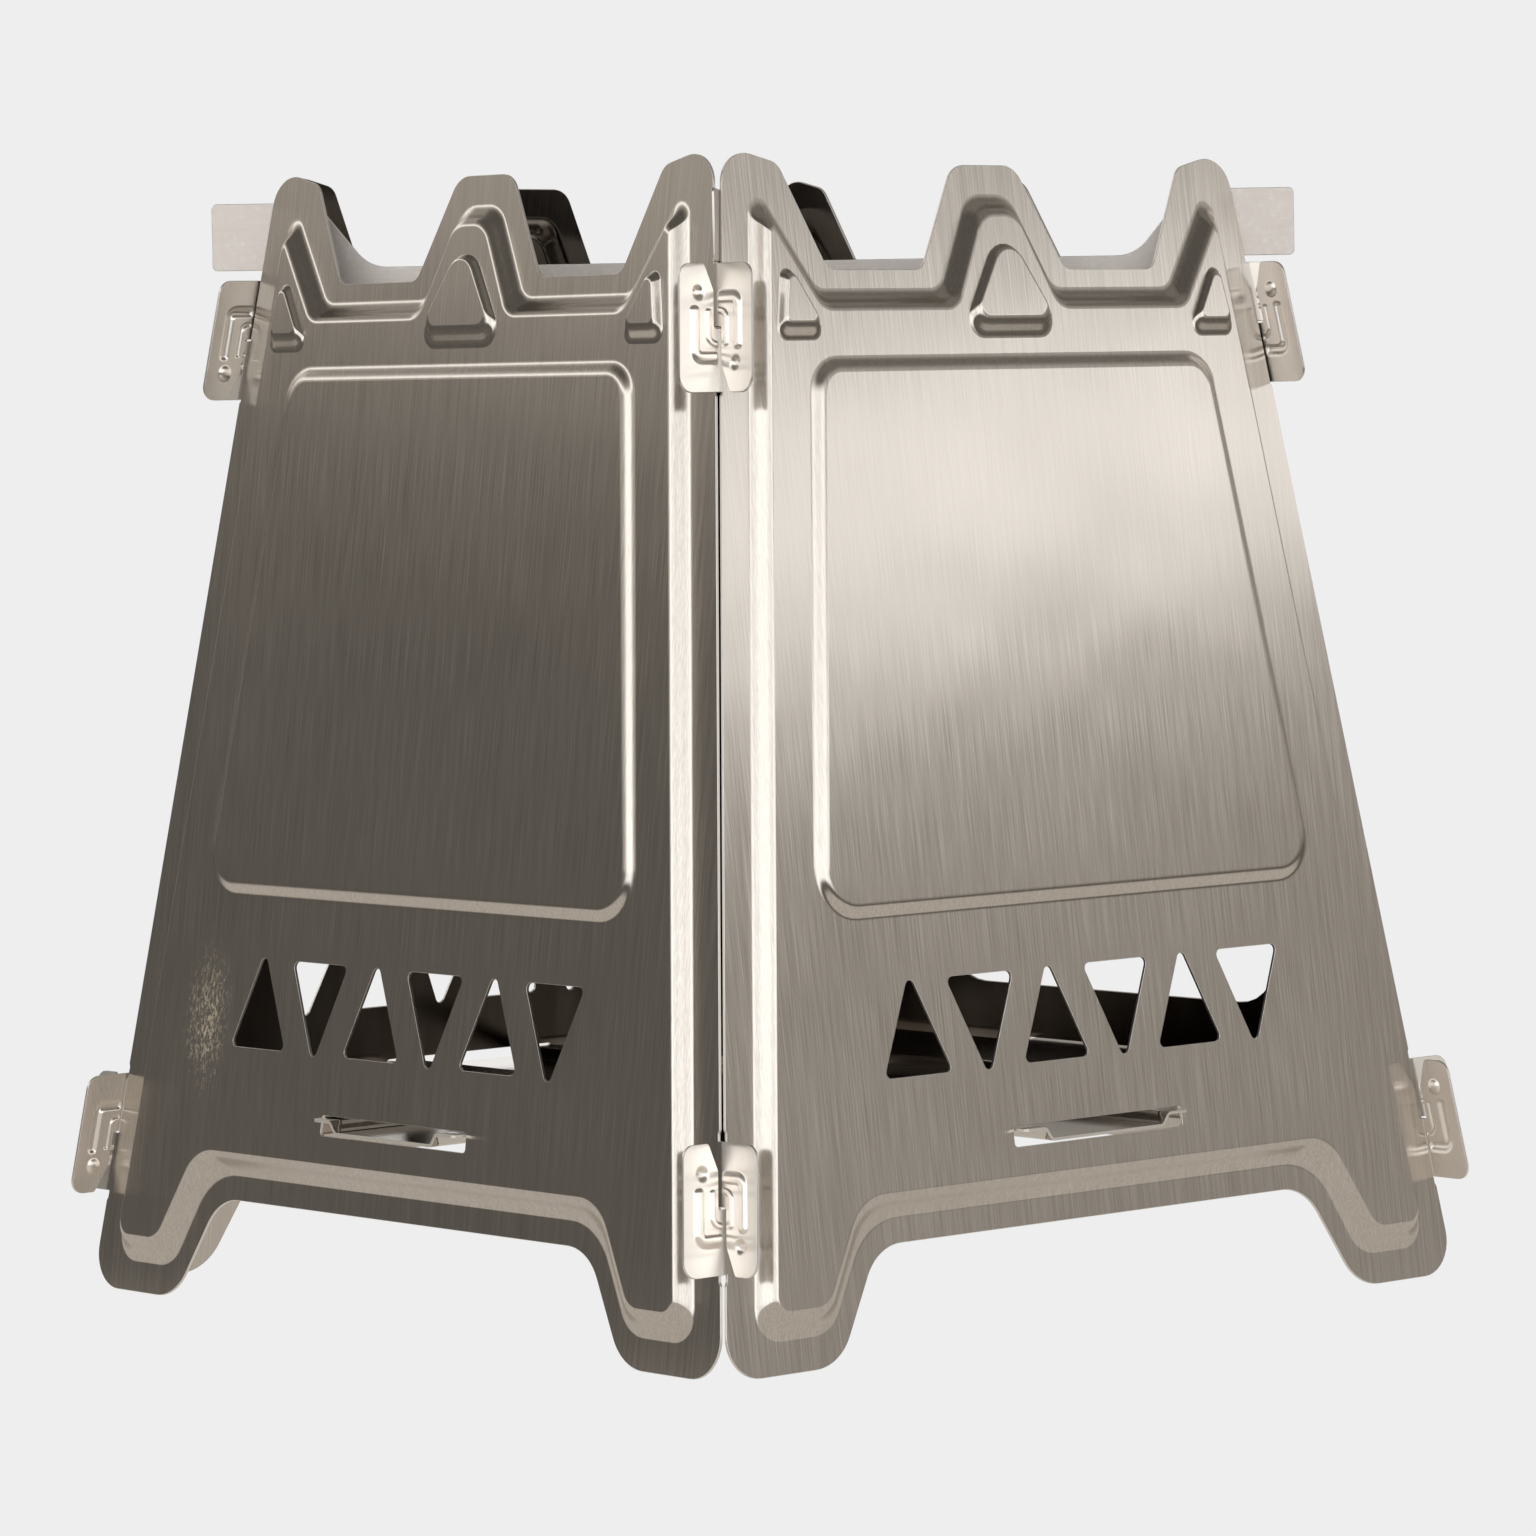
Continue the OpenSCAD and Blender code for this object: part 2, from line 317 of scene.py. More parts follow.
def make_object(name, data, place, materials, body, nodes):
    """place turns flat coordinates in millimetres into the row frame; the flat coordinates stay on the mesh as 'flat', for the grain."""
    P, faces, norms, mats = data
    R, t = place
    W = (P @ R.T + t) * 0.001
    me = bpy.data.meshes.new(name)
    me.from_pydata([tuple(p) for p in W], [], faces)
    for m in materials:
        me.materials.append(m)
    me.polygons.foreach_set("material_index", np.array(mats, np.int32))
    me.polygons.foreach_set("use_smooth", np.ones(len(faces), bool))
    at = me.attributes.new("flat", "FLOAT_VECTOR", "POINT")
    at.data.foreach_set("vector", P.astype(np.float32).ravel())
    uv = me.uv_layers.new(name="grain")
    li = np.zeros(len(me.loops), np.int32)
    me.loops.foreach_get("vertex_index", li)
    q = P[li]
    flat_uv = np.stack([q[:, 0] * 0.01, q[:, 1] * 0.01 + q[:, 2] * 0.001], 1)
    uv.data.foreach_set("uv", flat_uv.astype(np.float32).ravel())
    me.update()
    NW = norms @ R.T
    me.normals_split_custom_set([tuple(n) for n in NW])
    ob = bpy.data.objects.new(name, me)
    scene.collection.objects.link(ob)
    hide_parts(*nodes)
    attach(ob, body)
    return ob


# ---------------------------------------------------------------- the stamped panel
WIDE = 0.26
outline = mirrored([
    (46.0, 16.9, 8.5), (55.7, 0.0, 8.5), (edge(0) + WIDE, 0.0, 6),
    (edge(14.1) + WIDE, 14.1, 0.2), (edge(14.6), 14.6, 0.2),
    (edge(36.2), 36.2, 0.2), (edge(36.7) + WIDE, 36.7, 0.2),
    (edge(145.0) + WIDE, 145.0, 0.1), (edge(145.3), 145.3, 0.1),
    (edge(182.9), 182.9, 5.2), (42.6, 180.2, 3), (34.6, 163.9, 2.6),
    (15.2, 163.9, 2.6), (6.6, 180.2, 4.2)])

field_foot = mirrored([
    (47.4, 20.6, 11), (56.6, 4.8, 6.5), (edge(4.8) - 5.1, 4.8, 4.5),
    (edge(173.6) - 5.0, 173.6, 2.2), (46.9, 175.8, 2.0), (37.3, 161.1, 3),
    (12.2, 161.1, 3), (4.6, 175.7, 5.0)])
SIDE = 7.9
field_top = mirrored([
    (50.6, 24.7, 8), (59.0, 9.4, 3.6), (edge(9.4) - SIDE, 9.4, 2.2),
    (47.44, 169.1, 0.25), (46.95, 169.6, 0.25), (38.8, 157.2, 4),
    (10.6, 157.2, 4), (3.5, 171.7, 4)])


def inset(P, d):
    n, out = len(P), []
    for i in range(n):
        p0, p1, p2 = (np.array(P[(i + j) % n][:2], float) for j in (-1, 0, 1))
        a, b = (p1 - p0) / np.linalg.norm(p1 - p0), (p2 - p1) / np.linalg.norm(p2 - p1)
        na, nb = np.array([-a[1], a[0]]), np.array([-b[1], b[0]])
        q = p1 + d * (na + nb) / (1 + na @ nb)
        turn_ = a[0] * b[1] - a[1] * b[0]
        out.append((q[0], q[1], max(P[i][2] - d, 0.3) if turn_ > 0 else P[i][2] + d))
    return out


plateau_foot = mirrored([(62.5 - S * 65.6, 65.6, 7.5), (62.5 - S * 150.2, 150.2, 6)])
pad_mid = [(-11.2, 152.7, 2.9), (11.2, 152.7, 2.9), (0, 171.7, 4.3)]
pad_mid_top = [(-8.0, 156.3, 1.6), (8.0, 156.3, 1.6), (0, 169.0, 3.0)]
pad_r = [(38.2, 152.7, 1.8), (48.9, 152.7, 1.8), (46.2, 166.5, 1.5)]
pad_r_top = [(40.7, 155.8, 0.8), (47.0, 155.8, 0.8), (45.5, 163.6, 0.8)]


def flip(P):
    return [(-x, y, r) for x, y, r in reversed(P)]


def vent(i):
    x = (i - 2.5) * 14.43
    if i % 2 == 0:
        return [(x - 7.05, 41.45, 0.9), (x + 7.05, 41.45, 0.9), (x, 57.1, 0.9)]
    return [(x, 39.85, 0.9), (x + 7.05, 55.75, 0.9), (x - 7.05, 55.75, 0.9)]


slot_shape = [(-18, 28.95, 0.6), (18, 28.95, 0.6), (18, 32.1, 0.6), (-18, 32.1, 0.6)]
feed = [(x - 3.3, y, r) for x, y, r in mirrored([(42, 41.45, 10), (42 - S * (114 - 41.45), 114, 12)])]


def leaf(vc, side):
    """Right leaf, joined over its upper half (side 1), or the left one, which is the same turned half a turn (side -1)."""
    lo, hi, g = vc - LEAF, vc + LEAF, GAP + 1.0

    def e(v):
        return edge(v) if side > 0 else edge(2 * vc - v)

    P = [
        (e(vc + 0.15) - 1, vc + 0.15, 0.0), (e(vc + 0.15) + g, vc + 0.15, 0.4),
        (e(lo + 4.2) + g, lo + 4.2, 0.8), (e(lo) + g + 1.9, lo, 0.7),
        (e(lo) + LEAF_OUT, lo, 2.2), (e(hi) + LEAF_OUT, hi, 2.2), (e(hi) - 1, hi, 0.0)]
    if side < 0:
        P = [(-x, 2 * vc - y, r) for x, y, r in P]
    return P


def leaf_marks(vc, side):
    """Pressed hook, inner bow and dimple of one leaf; x is measured from the corner line."""
    def put(P):
        out = []
        for x, y, r in P:
            e = (edge(vc + y) if side > 0 else edge(vc - y)) + GAP
            out.append((e + x, vc + y, r) if side > 0 else (-(e + x), vc - y, r))
        return out

    hook = [(0.1, 3.6, 0.7), (3.7, 3.6, 0.5), (3.7, -3.4, 0.8), (5.9, -3.4, 0.9), (5.9, 5.8, 2.3), (0.1, 5.8, 0.9)]
    hook_top = [(0.85, 4.15, 0.1), (4.6, 4.15, 0.7), (4.6, -2.6, 0.1), (4.85, -2.6, 0.1), (4.85, 4.38, 1.2), (0.85, 4.38, 0.1)]
    bow = [(0.1, 2.0, 0.5), (1.5, 2.0, 0.9), (1.5, -2.9, 0.4), (2.7, -2.9, 0.5), (2.7, 3.1, 1.9), (0.1, 3.1, 0.5)]
    bow_top = [(0.55, 2.45, 0.1), (2.0, 2.45, 1.1), (2.0, -2.4, 0.1), (2.25, -2.4, 0.1), (2.25, 2.7, 1.4), (0.55, 2.7, 0.1)]
    made = [
        Press(ordered(put(hook), 4), ordered(put(hook_top), 4), 0.42, (0.4, 0.5), 4),
        Press(ordered(put(bow), 4), ordered(put(bow_top), 4), 0.26, (0.4, 0.5), 4)]
    (cx, cy, _), = put([(4.1, -5.3, 0)])
    made.append(Press(ring_of((cx, cy), 1.45), ring_of((cx, cy), 0.2), -0.4, (0.4, 0.6), 4))
    return made


def ordered(P, k):
    a = sum(P[i][0] * P[(i + 1) % len(P)][1] - P[(i + 1) % len(P)][0] * P[i][1] for i in range(len(P)))
    return loop(P if a > 0 else P[::-1], k)


def panel(name, turn_deg, body, feeding, materials):
    outlines = [loop(outline, 10)[0]]
    presses = [Press(loop(field_foot, 8), loop(field_top, 8), FIELD, (0.24, 0.45), 10, crown=(0.60, 0.34), arch=(0.60, 0.30))]
    if not feeding:
        presses.append(Press(loop(inset(plateau_foot, -0.3), 10), loop(inset(plateau_foot, 2.4), 10), PLATEAU))
    presses.append(Press(loop(pad_mid, 7), loop(pad_mid_top, 7), PAD))
    presses.append(Press(loop(pad_r, 6), loop(pad_r_top, 6), PAD))
    presses.append(Press(loop(flip(pad_r), 6), loop(flip(pad_r_top), 6), PAD))
    for vc in HINGES:
        for side in (1, -1):
            outlines.append(ordered(leaf(vc, side), 6)[0])
            presses += leaf_marks(vc, side)
    holes = [loop(slot_shape, 4)[0]]
    holes += [loop(feed, 8)[0]] if feeding else [loop(vent(i), 6)[0] for i in range(6)]
    data = build_sheet(name, outlines, holes, presses, T)
    a = math.radians(turn_deg)
    rz = np.array([[math.cos(a), -math.sin(a), 0], [math.sin(a), math.cos(a), 0], [0, 0, 1]])
    rx = np.array([[1, 0, 0], [0, S, -C], [0, C, S]])
    R = rz @ rx
    t = rz @ np.array([0, -BASE, LIFT])
    return make_object(name + "_sheet", data, (R, t), materials, body, [name])


# ---------------------------------------------------------------- materials
def nodes_of(mat):
    mat.use_nodes = True
    nt = mat.node_tree
    nt.nodes.clear()
    out = nt.nodes.new("ShaderNodeOutputMaterial")
    bsdf = nt.nodes.new("ShaderNodeBsdfPrincipled")
    nt.links.new(bsdf.outputs[0], out.inputs[0])
    return nt, bsdf


def math_node(nt, op, a, b=None, c=None, clamp=False):
    n = nt.nodes.new("ShaderNodeMath")
    n.operation = op
    n.use_clamp = clamp
    for i, x in enumerate((a, b, c)):
        if x is None:
            continue
        if isinstance(x, (int, float)):
            n.inputs[i].default_value = x
        else:
            nt.links.new(x, n.inputs[i])
    return n.outputs[0]


def noise(nt, vec, scale, detail=3.0, rough=0.5):
    n = nt.nodes.new("ShaderNodeTexNoise")
    n.inputs["Scale"].default_value = scale
    n.inputs["Detail"].default_value = detail
    n.inputs["Roughness"].default_value = rough
    nt.links.new(vec, n.inputs["Vector"])
    return n.outputs["Fac"]


def stretched(nt, vec, sx, sy, sz):
    n = nt.nodes.new("ShaderNodeVectorMath")
    n.operation = "MULTIPLY"
    nt.links.new(vec, n.inputs[0])
    n.inputs[1].default_value = (sx, sy, sz)
    return n.outputs[0]


def remap(nt, x, a, b, c, d, kind="LINEAR"):
    n = nt.nodes.new("ShaderNodeMapRange")
    n.interpolation_type = kind
    nt.links.new(x, n.inputs["Value"])
    for k, val in zip(("From Min", "From Max", "To Min", "To Max"), (a, b, c, d)):
        n.inputs[k].default_value = val
    return n.outputs[0]


def mix_color(nt, fac, a, b):
    n = nt.nodes.new("ShaderNodeMix")
    n.data_type = "RGBA"
    if isinstance(fac, (int, float)):
        n.inputs[0].default_value = fac
    else:
        nt.links.new(fac, n.inputs[0])
    for i, x in ((6, a), (7, b)):
        if isinstance(x, tuple):
            n.inputs[i].default_value = (*x, 1)
        else:
            nt.links.new(x, n.inputs[i])
    return n.outputs[2]


def steel(name, light, dark, rough, aniso, along="v", streak=0.9, heat=None, soot=None, blotch=0.0, bump=0.25, leaf=False):
    """Brushed sheet. light and dark are the two ends of the brush streaks; heat is a spot (u, v) with straw coloured
    speckle; soot darkens the sheet inside the firebox; leaf paints a highlight on the hinge leaves beyond the corner
    line, a lighter colour and more roughness standing in for their bright reflection.
    """
    mat = bpy.data.materials.new(name)
    nt, bsdf = nodes_of(mat)
    at = nt.nodes.new("ShaderNodeAttribute")
    at.attribute_name = "flat"
    vec = at.outputs["Vector"]
    a, b = (1.0, 0.013) if along == "v" else (0.013, 1.0)
    fine = noise(nt, stretched(nt, vec, 5.5 * a, 5.5 * b, 5.5), 1.0, 1.5, 0.6)
    mid = noise(nt, stretched(nt, vec, 1.4 * a, 1.4 * b, 1.4), 1.0, 1.0, 0.5)
    big = noise(nt, vec, 0.022, 2.0, 0.5)
    grain = math_node(nt, "ADD", math_node(nt, "MULTIPLY", fine, 0.8), math_node(nt, "MULTIPLY", mid, 0.2))
    tone = remap(nt, grain, 0.5 - 0.22 / streak, 0.5 + 0.22 / streak, 0.0, 1.0)
    col = mix_color(nt, tone, dark, light)
    col = mix_color(nt, remap(nt, big, 0.35, 0.7, 0.0, 0.22), col, dark)
    r = math_node(nt, "ADD", remap(nt, grain, 0.3, 0.7, rough - 0.02, rough + 0.03), remap(nt, big, 0.3, 0.7, -0.01, 0.02))
    if blotch:
        dots = noise(nt, vec, 0.9, 4.0, 0.65)
        col = mix_color(nt, remap(nt, dots, 0.5, 0.72, 0.0, blotch), col, (0.90, 0.88, 0.86))
        col = mix_color(nt, remap(nt, noise(nt, vec, 0.22, 3.0, 0.6), 0.5, 0.7, 0.0, blotch), col, dark)
    if heat:
        d = nt.nodes.new("ShaderNodeVectorMath")
        d.operation = "SUBTRACT"
        nt.links.new(vec, d.inputs[0])
        d.inputs[1].default_value = (heat[0], heat[1], 0)
        ln = nt.nodes.new("ShaderNodeVectorMath")
        ln.operation = "LENGTH"
        nt.links.new(stretched(nt, d.outputs[0], 1.0 / heat[2], 1.0 / heat[3], 0.0), ln.inputs[0])
        near = remap(nt, ln.outputs["Value"], 0.1, 1.0, 1.0, 0.0, "SMOOTHSTEP")
        spots = noise(nt, stretched(nt, vec, 1.0, 0.4, 1.0), 2.4, 4.0, 0.8)
        spots = remap(nt, math_node(nt, "ADD", spots, math_node(nt, "MULTIPLY", near, 0.12)), 0.58, 0.72, 0.0, 0.75)
        spots = math_node(nt, "MULTIPLY", near, spots)
        col = mix_color(nt, spots, col, (1.0, 0.84, 0.60))
        r = math_node(nt, "ADD", r, math_node(nt, "MULTIPLY", spots, 0.3))
    # painted highlight: beyond the corner line the hinge leaves get a lighter colour and more roughness, standing in
    # for the bright reflection they show
    if leaf:
        sl = nt.nodes.new("ShaderNodeSeparateXYZ")
        nt.links.new(vec, sl.inputs[0])
        leaf_highlight_mask = math_node(nt, "ADD", math_node(nt, "ABSOLUTE", sl.outputs["X"]), math_node(nt, "MULTIPLY", sl.outputs["Y"], S))
        leaf_highlight_mask = remap(nt, leaf_highlight_mask, 78.4, 79.0, 0.0, 1.0)
        col = mix_color(nt, leaf_highlight_mask, col, (0.92, 0.87, 0.81))
        r = math_node(nt, "ADD", r, math_node(nt, "MULTIPLY", leaf_highlight_mask, 0.12))
    if soot:
        sp = nt.nodes.new("ShaderNodeSeparateXYZ")
        nt.links.new(vec, sp.inputs[0])
        side = math_node(nt, "ADD", math_node(nt, "ABSOLUTE", sp.outputs["X"]), math_node(nt, "MULTIPLY", sp.outputs["Y"], S))
        mask = math_node(nt, "MULTIPLY", remap(nt, sp.outputs["Y"], 20, 34, 0, 1, "SMOOTHSTEP"), remap(nt, side, 75.5, 77.5, 1, 0, "SMOOTHSTEP"))
        mask = math_node(nt, "MULTIPLY", mask, remap(nt, noise(nt, stretched(nt, vec, 1.0, 0.25, 1.0), 0.06, 4.0, 0.6), 0.3, 0.6, 0.88, 1.0))
        mask = math_node(nt, "MULTIPLY", mask, remap(nt, sp.outputs["Y"], 150, 166, 1.0, 0.45, "SMOOTHSTEP"))
        col = mix_color(nt, mask, col, soot)
        r = math_node(nt, "ADD", r, math_node(nt, "MULTIPLY", mask, 0.02))
    nt.links.new(col, bsdf.inputs["Base Color"])
    bsdf.inputs["Metallic"].default_value = 1.0
    nt.links.new(r, bsdf.inputs["Roughness"])
    bsdf.inputs["Anisotropic"].default_value = aniso
    if aniso:
        tan = nt.nodes.new("ShaderNodeTangent")
        tan.direction_type = "UV_MAP"
        tan.uv_map = "grain"
        nt.links.new(tan.outputs[0], bsdf.inputs["Tangent"])
        bsdf.inputs["Anisotropic Rotation"].default_value = 0.0 if along == "v" else 0.25
    micro = nt.nodes.new("ShaderNodeBump")
    micro.inputs["Strength"].default_value = bump
    micro.inputs["Distance"].default_value = 0.00001
    nt.links.new(grain, micro.inputs["Height"])
    wave = nt.nodes.new("ShaderNodeBump")
    wave.inputs["Strength"].default_value = 0.3
    wave.inputs["Distance"].default_value = 0.0002
    nt.links.new(noise(nt, vec, 0.04, 1.0, 0.4), wave.inputs["Height"])
    nt.links.new(wave.outputs[0], micro.inputs["Normal"])
    nt.links.new(micro.outputs[0], bsdf.inputs["Normal"])
    return mat


LIGHT, DARK = (0.66, 0.615, 0.565), (0.50, 0.46, 0.415)
# leaf=True paints the highlight on the hinge leaves of outer and inner panel steel
outer = steel("panel_outer", LIGHT, DARK, 0.175, 0.92, leaf=True)
outer_heat = steel("panel_outer_heat", LIGHT, DARK, 0.175, 0.92, heat=(-50.0, 45.8, 10.0, 19.0), leaf=True)
inner = steel("panel_inner", LIGHT, DARK, 0.16, 0.92, soot=(0.066, 0.053, 0.044), leaf=True)
cut = steel("sheet_edge", (0.86, 0.83, 0.79), (0.72, 0.69, 0.65), 0.34, 0.0, streak=0.5, bump=0.05)
plate_top = steel("base_top", (0.74, 0.70, 0.65), (0.56, 0.52, 0.47), 0.13, 0.3, blotch=0.12)
strip_mat = steel("support_sheet", (0.84, 0.775, 0.73), (0.70, 0.64, 0.59), 0.45, 0.1, along="u", streak=0.4, blotch=0.5, bump=0.1)

panels = []
for pname, turn_deg, body, feeding in (
    ("front_panel", 0, "stove_frame", False),
    ("right_panel", 90, "right_panel", False),
    ("back_panel", 180, "stove_frame", True),
    ("left_panel", 270, "left_panel", False),
):
    panels.append(panel(pname, turn_deg, body, feeding, [outer_heat if pname == "front_panel" else outer, inner, cut]))

# ---------------------------------------------------------------- base plate
PLATE_Z, PLATE_T, DISH = 31.95, 0.5, 1.8
HALF, REACH, TAB = 73.2, 79.3, 17.55


def quarter(P):
    out = []
    for q in range(4):
        a = q * math.pi / 2
        ca, sa = round(math.cos(a)), round(math.sin(a))
        out += [(x * ca - y * sa, x * sa + y * ca, r) for x, y, r in P]
    return out


plate_outline = quarter([
    (HALF, -TAB, 1), (REACH, -TAB, 0.8), (REACH, TAB, 0.8), (HALF, TAB, 1), (HALF, HALF, 16)])


def cross_outline(a, R, rf, reach, k=10):
    """Round middle with arms to the right, left and front: points and inward directions."""
    pts, inward = [], []
    yc = math.sqrt((R + rf) ** 2 - (a + rf) ** 2)
    c1 = np.array([yc, a + rf])
    for q in range(4):
        ang = q * math.pi / 2
        rot = np.array([[math.cos(ang), -math.sin(ang)], [math.sin(ang), math.cos(ang)]])
        part, ni = [], []
        b0, b1 = math.atan2(c1[1], c1[0]), math.pi / 2 - math.atan2(c1[1], c1[0])
        if q == 1:
            arc = [-b0 + b0 * j / k for j in range(2 * k + 1)] + [b0 + (b1 - b0) * j / k for j in range(1, k)]
            for t_ in arc:
                d = np.array([math.cos(t_), math.sin(t_)])
                pts.append(rot @ (R * d))
                inward.append(rot @ -d)
            continue
        c0 = np.array([yc, -(a + rf)])
        s0 = math.atan2(-c0[1], -c0[0])
        for j in range(k + 1):
            # from the round middle out to the arm's lower side
            ang0 = s0 + (math.pi / 2 - s0) * j / k
            d = np.array([math.cos(ang0), math.sin(ang0)])
            part.append(c0 + rf * d)
            ni.append(d)
        for y, sgn in ((-a, 1), (a, -1)):
            part.append(np.array([reach, y]))
            ni.append(np.array([0.0, sgn]))
        s1 = math.atan2(-c1[1], -c1[0])
        for j in range(k + 1):
            ang1 = -math.pi / 2 + (s1 + math.pi / 2) * j / k
            d = np.array([math.cos(ang1), math.sin(ang1)])
            part.append(c1 + rf * d)
            ni.append(d)
        for j in range(1, k):
            t_ = b0 + (b1 - b0) * j / k
            d = np.array([math.cos(t_), math.sin(t_)])
            part.append(R * d)
            ni.append(-d)
        pts += [rot @ p for p in part]
        inward += [rot @ p for p in ni]
    return np.array(pts), np.array(inward)


plate_presses = [
    Press(cross_outline(13.6, 47.0, 5.0, REACH), cross_outline(11.5, 44.9, 7.1, REACH), -DISH, open_at=REACH),
    Press(ring_of((0, 0), 33.0, 72), ring_of((0, 0), 30.5, 72), -0.9),
]


plate_data = build_sheet("base_plate", [loop(plate_outline, 6)[0]], [], plate_presses, PLATE_T, level=PLATE_Z - PLATE_T / 2)
make_object("base_plate_sheet", plate_data, (np.eye(3), np.zeros(3)), [plate_top, plate_top, cut], "stove_frame", ["base_plate"])

# ---------------------------------------------------------------- pot supports
STRIP_T, END_H = 0.45, 10.8
lap_z, lap_w = 158.5, (STRIP_T + 0.2) / 2
for sname, angle, open_top, drop, body in (
    ("lower_pot_support", 45, True, 0.0, "lower_pot_support"),
    ("upper_pot_support", -45, False, 0.8, "upper_pot_support"),
):
    STRIP_Z, LOW = 164.6 - drop, 152.9 - drop
    TOP, MID = STRIP_Z + END_H, STRIP_Z + 0.3
    P = [(71.0, LOW, 3), (75.6, STRIP_Z, 0.6), (87.4, STRIP_Z, 0.8), (87.4, TOP, 0.8), (70.3, TOP, 6), (61.8, MID, 6)]
    left = [(-x, y, r) for x, y, r in reversed(P)]
    if open_top:
        P += [(lap_w, MID, 0.15), (lap_w, lap_z - 0.1, 0.1), (-lap_w, lap_z - 0.1, 0.1), (-lap_w, MID, 0.15)] + left
    else:
        P += left + [(-lap_w, LOW, 0.15), (-lap_w, lap_z + 0.1, 0.1), (lap_w, lap_z + 0.1, 0.1), (lap_w, LOW, 0.15)]
    flat = loop(P, 6)[0]
    if open_top:
        flat = np.stack([flat[:, 0], flat[:, 1] + 0.3 - flat[:, 0] * 0.3 / 87.4], 1)
    data = build_sheet(sname, [flat], [], [], STRIP_T, bevel=0.1)
    a = math.radians(angle)
    rz = np.array([[math.cos(a), -math.sin(a), 0], [math.sin(a), math.cos(a), 0], [0, 0, 1]])
    rx = np.array([[1, 0, 0], [0, 0, -1], [0, 1, 0]])
    make_object(sname + "_sheet", data, (rz @ rx, np.zeros(3)), [strip_mat, strip_mat, cut], body, [sname])

# ---------------------------------------------------------------- surroundings
PALE = 0.855
world = bpy.data.worlds.new("studio")
scene.world = world
world.use_nodes = True
wt = world.node_tree
wt.nodes.clear()
w_out = wt.nodes.new("ShaderNodeOutputWorld")
coord = wt.nodes.new("ShaderNodeTexCoord")
sep = wt.nodes.new("ShaderNodeSeparateXYZ")
wt.links.new(coord.outputs["Generated"], sep.inputs[0])
az = math_node(wt, "ARCTAN2", sep.outputs["Y"], sep.outputs["X"])
el = math_node(wt, "MULTIPLY", math_node(wt, "ARCSINE", sep.outputs["Z"]), 180 / math.pi)


def lobe(theta, wide_in, wide_out, e0, e1, e2, e3, amount):
    """Soft patch of light: bearing in degrees from +X towards +Y, its half widths, and the elevations where it starts and ends."""
    c = math_node(wt, "COSINE", math_node(wt, "SUBTRACT", az, math.radians(theta)))
    a = remap(wt, c, math.cos(math.radians(wide_out)), math.cos(math.radians(wide_in)), 0, amount, "SMOOTHSTEP")
    lo = remap(wt, el, e0, e1, 0, 1, "SMOOTHSTEP")
    hi = remap(wt, el, e2, e3, 1, 0, "SMOOTHSTEP")
    return math_node(wt, "MULTIPLY", a, math_node(wt, "MULTIPLY", lo, hi))


dim = remap(wt, el, -20, 0, 0.18, 0.135, "SMOOTHSTEP")
for args in (
    (-140, 45, 90, 8.3, 12.0, 28, 50, 0.44),
    (44, 40, 75, -10, 4, 22, 50, 0.22),
    (44, 40, 75, 34, 58, 95, 96, 0.12),
    (138, 30, 58, -6, 6, 30, 60, 0.20),
):
    dim = math_node(wt, "ADD", dim, lobe(*args))
bright = None
for args in (
    (-72, 8, 26, -6, 2, 20, 38, 1.7),
    (-32, 33, 46, -6, 2, 20, 38, 1.2),
    (-4, 18, 31, -6, 2, 16, 30, 1.6),
    (-43, 6, 13, 10, 13.5, 27, 36, 1.6),
    (42, 22, 34, 8.4, 9.4, 10.9, 12.3, 1.48),
    (42, 22, 34, 8, 9, 18, 55, 0.2),
    (-140, 40, 70, 18, 22, 26, 32, 1.2),
    (145.5, 4.5, 9, -10, -4, 6, 12, 0.86),
):
    lb = lobe(*args)
    bright = lb if bright is None else math_node(wt, "MAXIMUM", bright, lb)


def tinted(value, rgb):
    n = wt.nodes.new("ShaderNodeVectorMath")
    n.operation = "SCALE"
    n.inputs[0].default_value = rgb
    wt.links.new(value, n.inputs["Scale"])
    return n.outputs[0]


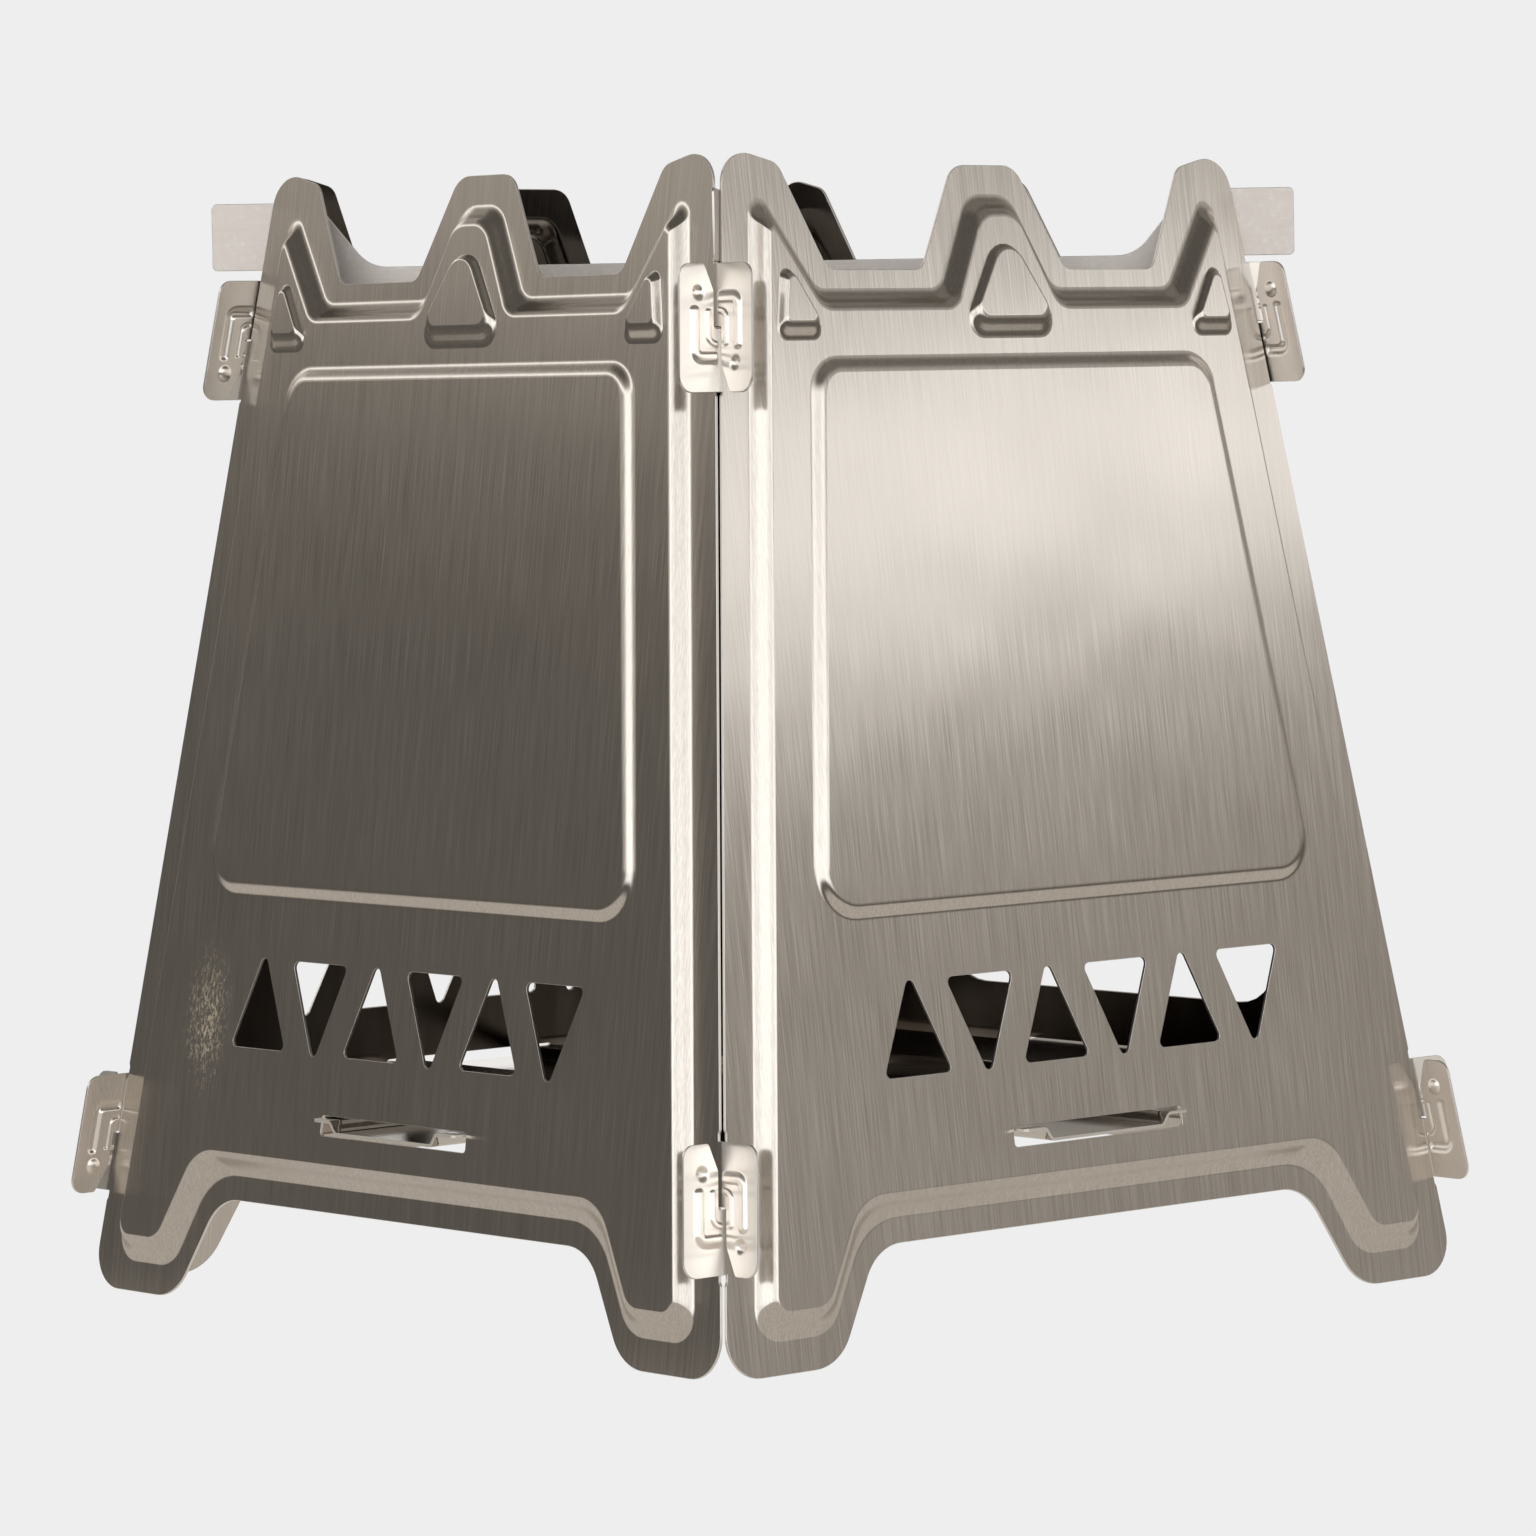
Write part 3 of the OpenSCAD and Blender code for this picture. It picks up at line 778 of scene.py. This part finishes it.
lit = wt.nodes.new("ShaderNodeBackground")
both = wt.nodes.new("ShaderNodeVectorMath")
both.operation = "ADD"
wt.links.new(tinted(dim, (1.0, 0.94, 0.855)), both.inputs[0])
wt.links.new(tinted(bright, (0.98, 1.0, 1.02)), both.inputs[1])
wt.links.new(both.outputs[0], lit.inputs["Color"])
plain = wt.nodes.new("ShaderNodeBackground")
plain.inputs["Color"].default_value = (PALE, PALE, PALE, 1)
path = wt.nodes.new("ShaderNodeLightPath")
mixw = wt.nodes.new("ShaderNodeMixShader")
wt.links.new(path.outputs["Is Camera Ray"], mixw.inputs[0])
wt.links.new(lit.outputs[0], mixw.inputs[1])
wt.links.new(plain.outputs[0], mixw.inputs[2])
wt.links.new(mixw.outputs[0], w_out.inputs[0])

# pale floor that fades into the backdrop
fl = bpy.data.meshes.new("floor")
k = 96
fl.from_pydata([(0, 0, 0)] + [(0.9 * math.cos(2 * math.pi * i / k), 0.9 * math.sin(2 * math.pi * i / k), 0) for i in range(k)], [], [(0, i + 1, (i + 1) % k + 1) for i in range(k)])
floor = bpy.data.objects.new("floor", fl)
floor.location.z = -0.0002
scene.collection.objects.link(floor)
fm = bpy.data.materials.new("floor_pale")
fm.use_nodes = True
ft = fm.node_tree
ft.nodes.clear()
f_out = ft.nodes.new("ShaderNodeOutputMaterial")
em = ft.nodes.new("ShaderNodeEmission")
f_path = ft.nodes.new("ShaderNodeLightPath")
ft.links.new(mix_color(ft, f_path.outputs["Is Camera Ray"], (0.64, 0.60, 0.55), (PALE, PALE, PALE)), em.inputs["Color"])
clear = ft.nodes.new("ShaderNodeBsdfTransparent")
fc = ft.nodes.new("ShaderNodeTexCoord")
ln = ft.nodes.new("ShaderNodeVectorMath")
ln.operation = "LENGTH"
ft.links.new(fc.outputs["Object"], ln.inputs[0])
wide = remap(ft, ln.outputs["Value"], 0.25, 0.85, 1.0, 0.0, "SMOOTHSTEP")
near = remap(ft, ln.outputs["Value"], 0.24, 0.42, 1.0, 0.0, "SMOOTHSTEP")
fade = ft.nodes.new("ShaderNodeMix")
ft.links.new(f_path.outputs["Is Camera Ray"], fade.inputs[0])
ft.links.new(near, fade.inputs[2])
ft.links.new(wide, fade.inputs[3])
mixf = ft.nodes.new("ShaderNodeMixShader")
ft.links.new(fade.outputs[0], mixf.inputs[0])
ft.links.new(clear.outputs[0], mixf.inputs[1])
ft.links.new(em.outputs[0], mixf.inputs[2])
ft.links.new(mixf.outputs[0], f_out.inputs[0])
fl.materials.append(fm)
